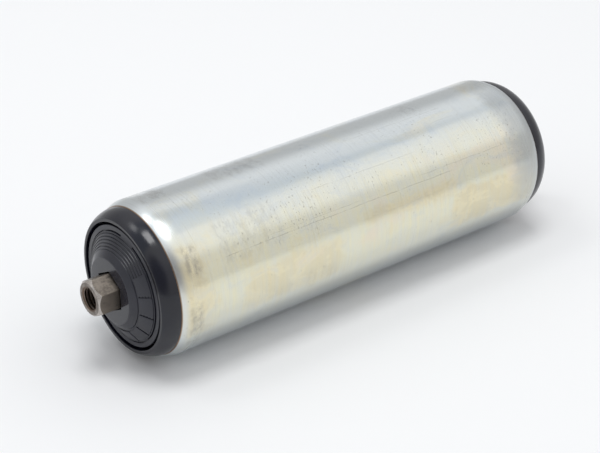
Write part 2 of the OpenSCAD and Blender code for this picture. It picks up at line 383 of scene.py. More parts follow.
class Nodes:
    """A node tree, with short ways to add nodes and join them."""

    def __init__(self, tree: bpy.types.NodeTree, place: str) -> None:
        """Opens a node tree.

        Args:
            tree: The tree.
            place: The coordinates that its patterns lie on, Object or Generated.
        """
        self.nodes = tree.nodes
        self.links = tree.links
        self.place = self.nodes.new("ShaderNodeTexCoord").outputs[place]

    def plug(self, socket: Socket, value: Level | Colour) -> None:
        """Sets a socket to a value, or joins it to another node's output.

        Args:
            socket: The socket that is fed.
            value: What it gets.
        """
        if isinstance(value, bpy.types.NodeSocket):
            self.links.new(value, socket)
        else:
            socket.default_value = value

    def math(self, operation: str, *numbers: Level) -> Socket:
        """Works on numbers.

        Args:
            operation: What is done with them, by the maths node's own name for it.
            numbers: One, two or three numbers.

        Returns:
            The result.
        """
        node = self.nodes.new("ShaderNodeMath")
        node.operation = operation
        for socket, number in zip(node.inputs, numbers):
            self.plug(socket, number)
        return node.outputs[0]

    def axes(self) -> tuple[Socket, ...]:
        """Splits the place into numbers.

        Returns:
            The place along X, Y and Z.
        """
        node = self.nodes.new("ShaderNodeSeparateXYZ")
        self.links.new(self.place, node.inputs[0])
        return tuple(node.outputs)

    def radius(self) -> Socket:
        """Measures the place from the roller's axis.

        Returns:
            Its distance.
        """
        _, y, z = self.axes()
        square = self.math("ADD", self.math("MULTIPLY", y, y), self.math("MULTIPLY", z, z))
        return self.math("SQRT", square)

    def degrees(self) -> Socket:
        """Measures the place round the roller's axis.

        Returns:
            Its angle in degrees, from the top towards the front.
        """
        _, y, z = self.axes()
        turned = self.math("ARCTAN2", self.math("MULTIPLY", y, -1.0), z)
        return self.math("MULTIPLY", turned, HALF_TURN / math.pi)

    def noise(self, grain: Grain) -> Socket:
        """Lays a cloudy pattern over the surface.

        Args:
            grain: The pattern.

        Returns:
            Its level.
        """
        stretched = self.nodes.new("ShaderNodeMapping")
        stretched.inputs["Scale"].default_value = grain.per_metre
        self.links.new(self.place, stretched.inputs["Vector"])
        node = self.nodes.new("ShaderNodeTexNoise")
        self.links.new(stretched.outputs[0], node.inputs["Vector"])
        node.inputs["Scale"].default_value = 1.0
        node.inputs["Detail"].default_value = grain.detail
        node.inputs["Roughness"].default_value = grain.rough
        node.inputs["Distortion"].default_value = grain.bend
        return node.outputs["Fac"]

    def ramp(self, value: Level, fade: Fade) -> Socket:
        """Eases from one level to another while a value changes.

        Args:
            value: The value.
            fade: The change.

        Returns:
            The level.
        """
        node = self.nodes.new("ShaderNodeMapRange")
        node.interpolation_type = "SMOOTHSTEP"
        self.plug(node.inputs["Value"], value)
        node.inputs["From Min"].default_value = fade.start
        node.inputs["From Max"].default_value = fade.stop
        node.inputs["To Min"].default_value = fade.low
        node.inputs["To Max"].default_value = fade.high
        return node.outputs["Result"]

    def hump(self, value: Level, middle: float, reach: Level, soft: float) -> Socket:
        """Makes a mask that is 1 near a middle value and 0 far from it.

        Args:
            value: The value.
            middle: The middle.
            reach: How far on each side the mask stays 1.
            soft: Over how much more it falls to 0.

        Returns:
            The mask.
        """
        away = self.math("ABSOLUTE", self.math("SUBTRACT", value, middle))
        return self.ramp(self.math("SUBTRACT", away, reach), Fade(0.0, soft, 1.0, 0.0))

    def mix(self, amount: Level, a: Socket | Colour, b: Socket | Colour) -> Socket:
        """Blends two colours.

        Args:
            amount: Share of the second colour.
            a: The first colour.
            b: The second colour.

        Returns:
            The blend.
        """
        node = self.nodes.new("ShaderNodeMix")
        node.data_type = "RGBA"
        self.plug(node.inputs["Factor"], amount)
        self.plug(node.inputs["A"], a)
        self.plug(node.inputs["B"], b)
        return node.outputs["Result"]


class Paint(Nodes):
    """The nodes of a new material round a principled shader."""

    def __init__(self, name: str) -> None:
        """Makes the material.

        Args:
            name: Its name.
        """
        self.material = bpy.data.materials.new(name)
        self.material.use_nodes = True
        super().__init__(self.material.node_tree, "Object")
        self.shader = self.nodes["Principled BSDF"]

    def set(self, **values: Level | Colour) -> None:
        """Sets the shader's sockets.

        Args:
            values: A value for each socket, named in lower case with underscores.
        """
        for name, value in values.items():
            words = name.replace("_", " ")
            socket = next(s for s in self.shader.inputs if s.name.lower() == words)
            self.plug(socket, value)

    def bump(self, height: Level, distance: float, strength: float = 1.0) -> None:
        """Raises the surface.

        Args:
            height: How high it stands, from 0 to 1.
            distance: The height that 1 stands for.
            strength: How much of the relief shows.
        """
        node = self.nodes.new("ShaderNodeBump")
        node.inputs["Strength"].default_value = strength
        node.inputs["Distance"].default_value = distance
        self.plug(node.inputs["Height"], height)
        self.links.new(node.outputs[0], self.shader.inputs["Normal"])


@dataclass(frozen=True)
class Mark:
    """A scratch, smear or stain on the tube.

    Attributes:
        middle: Place of its middle along the axis.
        angle: Its place round the tube in degrees, from the top towards the front.
        reach: Half its length.
        spread: Half its width in degrees.
        amount: How strong it is.
    """

    middle: float
    angle: float
    reach: float
    spread: float
    amount: float


@dataclass(frozen=True)
class Marks:
    """Marks of one kind.

    Attributes:
        soft: Width of their soft edges, along the axis and in degrees.
        ragged: How far their edges stray, along the axis and in degrees.
        each: The marks.
    """

    soft: tuple[float, float]
    ragged: tuple[float, float]
    each: tuple[Mark, ...]


@dataclass(frozen=True)
class ZincPlate:
    """Zinc plating on a drawn tube, with straw-coloured passivation, marks of handling and painted
    shade on the right rolled end.

    Its fields are the colours, then for each colour, wear or gloss the patterns that it follows
    and the levels of them between which it shows, and last the marks by kind.

    Attributes:
        straw_front: Middle, reach and softness, in degrees, of the straw colour on the front.
        straw_stray: How far in degrees the patches push its edges.
        bare_ends: Where on the rolled ends the straw colour gives way to bare zinc.
        rusty_edge: Where the thin rust line at the tube's edges starts and is full.
        end_roughness: How much duller the tube is towards its ends.
        stretch_of_gloss: How far the brushing stretches the highlights.
        turn_of_gloss: Turn of the stretch, as a share of a whole turn.
        wave_height: Height of the waves, in heights of the brushing.
        mark_depth: Depth of nicks and scratches, in heights of the brushing.
        relief: Height of the brushing.
        fraying: The pattern that makes the edges of marks stray.
    """

    bare: Colour = (0.69, 0.73, 0.745, 1.0)
    straw: Colour = (0.79, 0.76, 0.565, 1.0)
    amber: Colour = (0.79, 0.70, 0.47, 1.0)
    pink: Colour = (0.79, 0.69, 0.585, 1.0)
    blue: Colour = (0.52, 0.59, 0.68, 1.0)
    # dulled is the colour of the painted shade on the right rolled end.
    dulled: Colour = (0.45, 0.475, 0.49, 1.0)
    grime: Colour = (0.30, 0.285, 0.26, 1.0)
    rust: Colour = (0.26, 0.17, 0.11, 1.0)

    clouds: Grain = Grain((26, 40, 40), detail=4, rough=0.6, bend=0.8)
    patches: Grain = Grain((75, 120, 120), detail=5, rough=0.65, bend=1.0)
    combing: Grain = Grain((520, 45, 45), detail=5, rough=0.7)
    straw_front: tuple[float, float, float] = (84.0, 8.0, 56.0)
    straw_stray: float = 16.0
    straw_clouds: Fade = Fade(0.48, 0.68, 0.0, 0.5)
    straw_streaks: Fade = Fade(0.3, 0.68, 1.0, 0.6)
    amber_patches: Fade = Fade(0.5, 0.72, 0.0, 0.5)
    tide_line: Fade = Fade(0.48, 0.53)
    tide_amount: float = 0.13
    pink_clouds: Fade = Fade(0.54, 0.68, 0.0, 0.6)
    blue_patches: Fade = Fade(0.5, 0.3)
    blue_amount: float = 0.25
    bare_ends: Fade = Fade(70 * MM, 72.4 * MM, 0.0, 0.7)
    rusty_edge: Fade = Fade(72.55 * MM, 72.85 * MM)

    nicks: Grain = Grain((1700, 950, 950), detail=3, rough=0.55)
    nick_groups: Grain = Grain((60, 80, 80), detail=4, rough=0.6)
    nick_levels: Fade = Fade(0.42, 0.66, 0.70, 0.655)
    nick_edges: Fade = Fade(0.0, 0.05)
    nick_amount: float = 0.5

    tears: Grain = Grain((420, 190, 190), detail=5, rough=0.75)
    torn: Fade = Fade(0.38, 0.66)
    turning: Grain = Grain((1900, 40, 40), detail=4, rough=0.65)
    turned: Fade = Fade(0.45, 0.72)
    wearing: Grain = Grain((70, 90, 90), detail=3)
    worn: Fade = Fade(0.4, 0.65, 0.05, 0.2)
    rubbed_amount: float = 0.75

    breaks: Grain = Grain((260, 500, 500), detail=5, rough=0.7)
    broken: Fade = Fade(0.36, 0.56)
    hairs: Grain = Grain((24, 1100, 1100), detail=3, bend=0.3)
    hairlines: Fade = Fade(0.62, 0.74)

    roughness: float = 0.2
    rubbed_roughness: float = 0.15
    end_roughness: Fade = Fade(66 * MM, 70.5 * MM, 0.0, 0.12)
    stretch_of_gloss: float = 0.6
    turn_of_gloss: float = 0.25
    brushing: Grain = Grain((3600, 70, 70))
    waves: Grain = Grain((45, 60, 60))
    wave_height: float = 12.0
    mark_depth: float = 4.0
    relief: float = 0.0012 * MM
    fraying: Grain = Grain((110, 150, 150), detail=6, rough=0.7)

    scratches: Marks = Marks((8 * MM, 0.25), (0.0, 3.0), (
        Mark(-12 * MM, 60.5, 42 * MM, 0.12, 0.4),
        Mark(-20 * MM, 57.5, 14 * MM, 0.1, 0.26),
        Mark(40 * MM, 56.0, 14 * MM, 0.1, 0.26),
        Mark(2 * MM, 38.0, 16 * MM, 0.1, 0.24),
        Mark(25 * MM, 8.0, 18 * MM, 0.1, 0.22),
        Mark(10 * MM, -150.0, 30 * MM, 0.2, 0.4),
        Mark(-20 * MM, 165.0, 18 * MM, 0.2, 0.4),
    ))
    smears: Marks = Marks((2.5 * MM, 8.0), (5 * MM, 10.0), (
        Mark(-64.5 * MM, -14.0, 4 * MM, 9.0, 0.55),
        Mark(-34.5 * MM, -10.0, 8 * MM, 9.0, 0.35),
        Mark(35 * MM, -8.0, 3 * MM, 8.0, 0.3),
        Mark(-66.8 * MM, 55.0, 1.2 * MM, 7.0, 0.8),
        Mark(-68 * MM, 105.0, 1.0 * MM, 14.0, 0.7),
        Mark(-22 * MM, 102.0, 4 * MM, 4.0, 0.22),
        Mark(-45 * MM, 50.0, 10 * MM, 12.0, 0.3),
        Mark(-45 * MM, -120.0, 6 * MM, 20.0, 0.4),
    ))
    stains: Marks = Marks((6 * MM, 6.0), (16 * MM, 16.0), (
        Mark(-32 * MM, 92.0, 15 * MM, 12.0, 0.7),
        Mark(51 * MM, 93.0, 14 * MM, 13.0, 0.9),
        Mark(17 * MM, 72.0, 16 * MM, 2.5, 0.8),
        Mark(-68.5 * MM, 78.0, 3 * MM, 32.0, 0.85),
        Mark(30 * MM, 170.0, 20 * MM, 30.0, 0.6),
    ))
    nicked: Marks = Marks((22 * MM, 24.0), (0.0, 0.0), (
        Mark(-34 * MM, 42.0, 14 * MM, 14.0, 0.055),
        Mark(20 * MM, 30.0, 20 * MM, 20.0, 0.025),
        Mark(59 * MM, 45.0, 1 * MM, 8.0, 0.06),
    ))
    combed: Marks = Marks((20 * MM, 12.0), (0.0, 20.0), (
        Mark(-8 * MM, 60.0, 40 * MM, 8.0, 0.22),
        Mark(30 * MM, 15.0, 25 * MM, 10.0, 0.17),
    ))
    # Painted shade: a darker band over the front of the right rolled end.
    painted_shade_bands: Marks = Marks((9 * MM, 60.0), (12 * MM, 25.0), (
        Mark(69 * MM, 52.0, 2.5 * MM, 22.0, 0.8),
    ))

    def masked(self, paint: Paint, marks: Marks) -> Level:
        """Adds marks up into one mask.

        Args:
            paint: The material's nodes.
            marks: The marks.

        Returns:
            The mask.
        """
        stray = paint.math("SUBTRACT", paint.noise(self.fraying), 0.5)
        x = paint.math("MULTIPLY_ADD", stray, marks.ragged[0], paint.axes()[0])
        degrees = paint.math("MULTIPLY_ADD", stray, marks.ragged[1], paint.degrees())
        total: Level = 0.0
        for mark in marks.each:
            along = paint.hump(x, mark.middle, mark.reach, marks.soft[0])
            around = paint.hump(degrees, mark.angle, mark.spread, marks.soft[1])
            spot = paint.math("MULTIPLY", paint.math("MULTIPLY", along, around), mark.amount)
            total = paint.math("MAXIMUM", spot, total)
        return total

    def passivation(self, paint: Paint) -> Socket:
        """Colours the plating: bluish zinc with straw, amber and pink clouds, and painted shade on the
        right rolled end.

        Args:
            paint: The material's nodes.

        Returns:
            The colour.
        """
        broad, patchy = paint.noise(self.clouds), paint.noise(self.patches)
        combed = paint.noise(self.combing)
        shifted = paint.math("MULTIPLY_ADD", patchy, self.straw_stray, paint.degrees())
        front = paint.hump(shifted, *self.straw_front)
        straw = paint.math("MAXIMUM", front, paint.ramp(broad, self.straw_clouds))
        straw = paint.math("MULTIPLY", straw, paint.ramp(combed, self.straw_streaks))
        colour = paint.mix(straw, self.bare, self.straw)
        stained = self.masked(paint, self.stains)
        tide = paint.ramp(patchy, self.tide_line)
        warm = paint.math("MAXIMUM", paint.ramp(patchy, self.amber_patches), stained)
        colour = paint.mix(paint.math("MULTIPLY", straw, warm), colour, self.amber)
        tide = paint.math("MULTIPLY", paint.math("MULTIPLY", tide, stained), self.tide_amount)
        colour = paint.mix(tide, colour, self.grime)
        pink = paint.math("MULTIPLY", straw, paint.ramp(broad, self.pink_clouds))
        colour = paint.mix(pink, colour, self.pink)
        bluish = paint.math("MULTIPLY", paint.ramp(patchy, self.blue_patches), self.blue_amount)
        colour = paint.mix(bluish, colour, self.blue)
        far = paint.math("ABSOLUTE", paint.axes()[0])
        colour = paint.mix(paint.ramp(far, self.bare_ends), colour, self.bare)
        # Painted shade in the dulled colour over the right rolled end.
        return paint.mix(self.masked(paint, self.painted_shade_bands), colour, self.dulled)

    def pits(self, paint: Paint) -> Socket:
        """Masks the small dark nicks, which lie in loose groups.

        Args:
            paint: The material's nodes.

        Returns:
            The mask.
        """
        nicks, groups = paint.noise(self.nicks), paint.noise(self.nick_groups)
        crowd = self.masked(paint, self.nicked)
        level = paint.math("SUBTRACT", paint.ramp(groups, self.nick_levels), crowd)
        return paint.ramp(paint.math("SUBTRACT", nicks, level), self.nick_edges)

    def rubbing(self, paint: Paint) -> Socket:
        """Masks the grey smears and the faint lines that run round the tube.

        Args:
            paint: The material's nodes.

        Returns:
            The mask.
        """
        torn = paint.ramp(paint.noise(self.tears), self.torn)
        smears = paint.math("MULTIPLY", self.masked(paint, self.smears), torn)
        turned = paint.ramp(paint.noise(self.turning), self.turned)
        worn = paint.ramp(paint.noise(self.wearing), self.worn)
        return paint.math("MAXIMUM", smears, paint.math("MULTIPLY", turned, worn))

    def scoring(self, paint: Paint) -> Socket:
        """Masks the long scratches, broken up along their length, and the hairlines.

        Args:
            paint: The material's nodes.

        Returns:
            The mask.
        """
        broken = paint.ramp(paint.noise(self.breaks), self.broken)
        lines = paint.math("MULTIPLY", self.masked(paint, self.scratches), broken)
        hairs = paint.ramp(paint.noise(self.hairs), self.hairlines)
        hairs = paint.math("MULTIPLY", hairs, self.masked(paint, self.combed))
        return paint.math("MAXIMUM", lines, hairs)

    def material(self) -> bpy.types.Material:
        """Makes the material.

        Returns:
            The material.
        """
        paint = Paint("zinc_plate")
        colour = self.passivation(paint)
        rubbed, pits, scores = self.rubbing(paint), self.pits(paint), self.scoring(paint)
        colour = paint.mix(paint.math("MULTIPLY", rubbed, self.rubbed_amount), colour, self.grime)
        colour = paint.mix(scores, colour, self.grime)
        colour = paint.mix(paint.math("MULTIPLY", pits, self.nick_amount), colour, self.grime)
        far = paint.math("ABSOLUTE", paint.axes()[0])
        colour = paint.mix(paint.ramp(far, self.rusty_edge), colour, self.rust)
        dull = paint.math("MULTIPLY_ADD", rubbed, self.rubbed_roughness, self.roughness)
        dull = paint.math("ADD", dull, paint.ramp(far, self.end_roughness))
        paint.set(base_color=colour, metallic=1.0, roughness=dull)
        paint.set(anisotropic=self.stretch_of_gloss, anisotropic_rotation=self.turn_of_gloss)
        round_axis = paint.nodes.new("ShaderNodeTangent")
        round_axis.direction_type = "RADIAL"
        round_axis.axis = "X"
        paint.plug(paint.shader.inputs["Tangent"], round_axis.outputs[0])
        waves, brushed = paint.noise(self.waves), paint.noise(self.brushing)
        height = paint.math("MULTIPLY_ADD", waves, self.wave_height, brushed)
        sunk = paint.math("MULTIPLY", paint.math("ADD", pits, scores), self.mark_depth)
        paint.bump(paint.math("SUBTRACT", height, sunk), self.relief)
        return paint.material


@dataclass(frozen=True)
class Moulding:
    """Moulded polyamide, from satin to matt, with a faint grain.

    Attributes:
        name: Name of the material.
        colour: Its colour.
        roughness: How dull it is.
        polished: Distance from the axis within which the mould was polished.
        polish: Share of the dullness that is left there.
        polish_edge: Width of the change at that distance.
        grain: The grain's pattern.
        grain_height: Its height.
        grain_shown: How much of it shows.
        clouds: The pattern of slightly lighter and duller places.
        lightened: Where these places are lighter.
        lighter: How many times as light they are.
        dulled: Where they are duller.
        dulling: The least and the most that they change the dullness.
    """

    name: str
    colour: Colour
    roughness: float
    polished: float = 0.0
    polish: float = 0.45
    polish_edge: float = 0.1 * MM
    grain: Grain = Grain((1800, 1800, 1800), detail=3)
    grain_height: float = 0.01 * MM
    grain_shown: float = 0.6
    clouds: Grain = Grain((120, 120, 120), detail=4, rough=0.6)
    lightened: Fade = Fade(0.35, 0.7)
    lighter: float = 1.35
    dulled: tuple[float, float] = (0.3, 0.7)
    dulling: tuple[float, float] = (-0.05, 0.06)

    def material(self) -> bpy.types.Material:
        """Makes the material.

        Returns:
            The material.
        """
        paint = Paint(self.name)
        fine, cloudy = paint.noise(self.grain), paint.noise(self.clouds)
        lighter = tuple(self.lighter * part for part in self.colour[:3]) + (1.0,)
        paint.set(base_color=paint.mix(paint.ramp(cloudy, self.lightened), self.colour, lighter))
        least, most = (self.roughness + change for change in self.dulling)
        satin = paint.ramp(cloudy, Fade(*self.dulled, least, most))
        edge = Fade(self.polished, self.polished + self.polish_edge, self.polish, 1.0)
        paint.set(roughness=paint.math("MULTIPLY", satin, paint.ramp(paint.radius(), edge)))
        paint.bump(fine, self.grain_height, self.grain_shown)
        return paint.material


@dataclass(frozen=True)
class BareSteel:
    """Drawn hexagonal bar, dulled by handling, with freshly turned ends, rusty threads and a front flat
    darkened with painted shade.

    Attributes:
        drawn: Colour of the flats.
        faced: Colour of the end faces.
        chamfered: Colour of the chamfers.
        tarnish_and_painted_shade: Colour of the dirt, and of the painted shade on the front flat.
        rust: Colour inside the threaded holes.
        crest: Colour of the threads' crests.
        chamfer_edge: How far inside a chamfer its colour starts and is full.
        face_edge: How far inside an end face its colour starts and is full.
        mouth_edge: How far round a hole's mouth the rust fades out and is full.
        crest_depth: How far down the threads their crests' colour reaches.
        lines: The lines that drawing left.
        lines_depth: How deep they are.
        lines_dirt: The dirt along them.
        blotches: The pattern of the bar's dull blotches.
        blotches_dirt: The dirt in them.
        painted_shade_front: Middle, reach and softness, in degrees, of the front flat darkened with
            painted shade.
        painted_shade_amount: How strong that painted shade is.
        chamfer_dirt_and_painted_shade: Share of the dirt and painted shade off and on a chamfer.
        roughness: How dull the bar is, by its blotches.
        chamfer_gloss: How much less dull a chamfer is.
    """

    drawn: Colour = (0.26, 0.225, 0.19, 1.0)
    faced: Colour = (0.255, 0.225, 0.20, 1.0)
    chamfered: Colour = (0.56, 0.52, 0.485, 1.0)
    tarnish_and_painted_shade: Colour = (0.10, 0.086, 0.075, 1.0)
    rust: Colour = (0.14, 0.10, 0.075, 1.0)
    crest: Colour = (0.36, 0.31, 0.27, 1.0)
    chamfer_edge: tuple[float, float] = (0.12 * MM, 0.04 * MM)
    face_edge: tuple[float, float] = (0.06 * MM, 0.02 * MM)
    mouth_edge: tuple[float, float] = (0.3 * MM, 0.1 * MM)
    crest_depth: float = 0.12 * MM
    lines: Grain = Grain((120, 1500, 1500), detail=5, rough=0.7)
    lines_depth: float = 0.01 * MM
    lines_dirt: Fade = Fade(0.45, 0.75, 0.0, 0.45)
    blotches: Grain = Grain((420, 620, 620), detail=6, rough=0.75)
    blotches_dirt: Fade = Fade(0.42, 0.62, 0.0, 0.7)
    painted_shade_front: tuple[float, float, float] = (90.0, 28.0, 3.0)
    painted_shade_amount: float = 0.6
    chamfer_dirt_and_painted_shade: Fade = Fade(0.0, 1.0, 1.0, 0.4)
    roughness: Fade = Fade(0.3, 0.7, 0.32, 0.46)
    chamfer_gloss: float = 0.14

    def material(self, end: float, face: float, thread: float, mouth: float) -> bpy.types.Material:
        """Makes the material.

        Args:
            end: Place of the bar's end along the axis.
            face: Radius of the end's flat face.
            thread: Radius of the threaded hole.
            mouth: Radius of the hole's countersunk mouth.

        Returns:
            The material.
        """
        paint = Paint("bare_steel")
        far = paint.math("ABSOLUTE", paint.axes()[0])
        radius = paint.radius()
        lines, blotches = paint.noise(self.lines), paint.noise(self.blotches)
        cone = paint.ramp(paint.math("ADD", far, radius),
                          Fade(*(end + face - inside for inside in self.chamfer_edge)))
        flat_end = paint.ramp(far, Fade(*(end - inside for inside in self.face_edge)))
        bore = paint.ramp(radius, Fade(*(mouth + outside for outside in self.mouth_edge)))
        crest = paint.ramp(radius, Fade(thread + self.crest_depth, thread))
        colour = paint.mix(cone, self.drawn, self.chamfered)
        colour = paint.mix(flat_end, colour, self.faced)
        dirt_and_painted_shade = paint.math("ADD", paint.ramp(lines, self.lines_dirt),
                           paint.ramp(blotches, self.blotches_dirt))
        # Painted shade: the front flat is darkened with the tarnish colour, on top of the real dirt.
        front = paint.math("MULTIPLY", paint.hump(paint.degrees(), *self.painted_shade_front), self.painted_shade_amount)
        dirt_and_painted_shade = paint.math("MULTIPLY", paint.math("MAXIMUM", dirt_and_painted_shade, front),
                           paint.ramp(cone, self.chamfer_dirt_and_painted_shade))
        colour = paint.mix(dirt_and_painted_shade, colour, self.tarnish_and_painted_shade)
        colour = paint.mix(bore, colour, self.rust)
        colour = paint.mix(paint.math("MULTIPLY", bore, crest), colour, self.crest)
        paint.set(base_color=colour, metallic=1.0)
        gloss = paint.math("MULTIPLY", cone, self.chamfer_gloss)
        paint.set(roughness=paint.math("SUBTRACT", paint.ramp(blotches, self.roughness), gloss))
        paint.bump(lines, self.lines_depth)
        return paint.material


@dataclass(frozen=True)
class PlainSteel:
    """Ground, polished or pressed steel of the parts inside.

    Attributes:
        name: Name of the material.
        colour: Its colour.
        roughness: How dull it is.
        lines: Grinding lines per metre along the axis.
        across: Features per metre across it.
        lines_depth: How deep the lines are.
        streak: Colour that the lines tend to.
        streaks: How much of it they take on.
        dulled: Where in the lines the dullness changes.
        dulling: The least and the most that it is multiplied by there.
    """

    name: str
    colour: Colour
    roughness: float
    lines: float
    across: float = 60.0
    lines_depth: float = 0.003 * MM
    streak: Colour = (0.4, 0.4, 0.42, 1.0)
    streaks: Fade = Fade(0.3, 0.7, 0.0, 0.3)
    dulled: tuple[float, float] = (0.3, 0.7)
    dulling: tuple[float, float] = (0.8, 1.2)

    def material(self) -> bpy.types.Material:
        """Makes the material.

        Returns:
            The material.
        """
        paint = Paint(self.name)
        ground = paint.noise(Grain((self.lines, self.across, self.across)))
        colour = paint.mix(paint.ramp(ground, self.streaks), self.colour, self.streak)
        paint.set(base_color=colour, metallic=1.0)
        least, most = (self.roughness * share for share in self.dulling)
        paint.set(roughness=paint.ramp(ground, Fade(*self.dulled, least, most)))
        paint.bump(ground, self.lines_depth)
        return paint.material


def wear(obj: bpy.types.Object, material: bpy.types.Material) -> None:
    """Gives an object one material and no other."""
    obj.data.materials.clear()
    obj.data.materials.append(material)


# ---------------------------------------------------------------- sub-assemblies


@dataclass(frozen=True)
class Tube:
    """The steel tube, with both ends rolled in over the bearing housings.

    Attributes:
        wall: Thickness of its wall.
        roll: Length of each rolled end.
        lead: How far a roll's centre lies inboard of where the roll starts.
        ease: Rounding of the edge.
        straight: Length of straight wall beside each roll that has faces of its own.
        outer_steps: Number of steps in a roll's outside.
        inner_steps: Number of steps in its inside.
        turn_steps: Number of steps round the tube.
    """

    wall: float = 1.5 * MM
    roll: float = 3.8 * MM
    lead: float = 0.5 * MM
    ease: float = 0.15 * MM
    straight: float = 1.0 * MM
    outer_steps: int = 14
    inner_steps: int = 10
    turn_steps: int = 256

    def corners(self) -> list[Corner]:
        """Draws the tube's section.

        Returns:
            Its corners, along both walls and both rolled ends.
        """
        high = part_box("tube")[1]
        drop = high.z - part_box(End.RIGHT.node("bearing_housing"))[1].z
        rise = (self.roll * (self.roll + 2 * self.lead) + drop**2) / (2 * drop)
        radius = math.hypot(rise, self.lead)
        x, r = high.x - self.roll - self.lead, high.z - rise
        start, stop = math.asin(self.lead / radius), math.asin((self.lead + self.roll) / radius)
        inner = radius - self.wall
        inner_start = math.acos((rise - self.wall) / inner)
        inner_stop = math.asin((self.lead + self.roll) / inner)
        outside = [Corner(x - self.straight, high.z), *arc(x, r, radius, start, stop, self.outer_steps)]
        inside = arc(x, r, inner, inner_stop, inner_start, self.inner_steps)
        outside[-1] = Corner(outside[-1].x, outside[-1].r, self.ease)
        right = [*outside, *inside, Corner(x - self.straight, high.z - self.wall)]
        return right + [Corner(-corner.x, corner.r, corner.ease) for corner in reversed(right)]

    def build(self) -> None:
        """Turns the tube and dresses it."""
        tube = turn("steel_tube", self.corners(), steps=self.turn_steps)
        smooth(tube)
        wear(tube, ZincPlate().material())
        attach(tube, "roller")
        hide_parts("tube")
        log.info("tube: %d faces", len(tube.data.polygons))


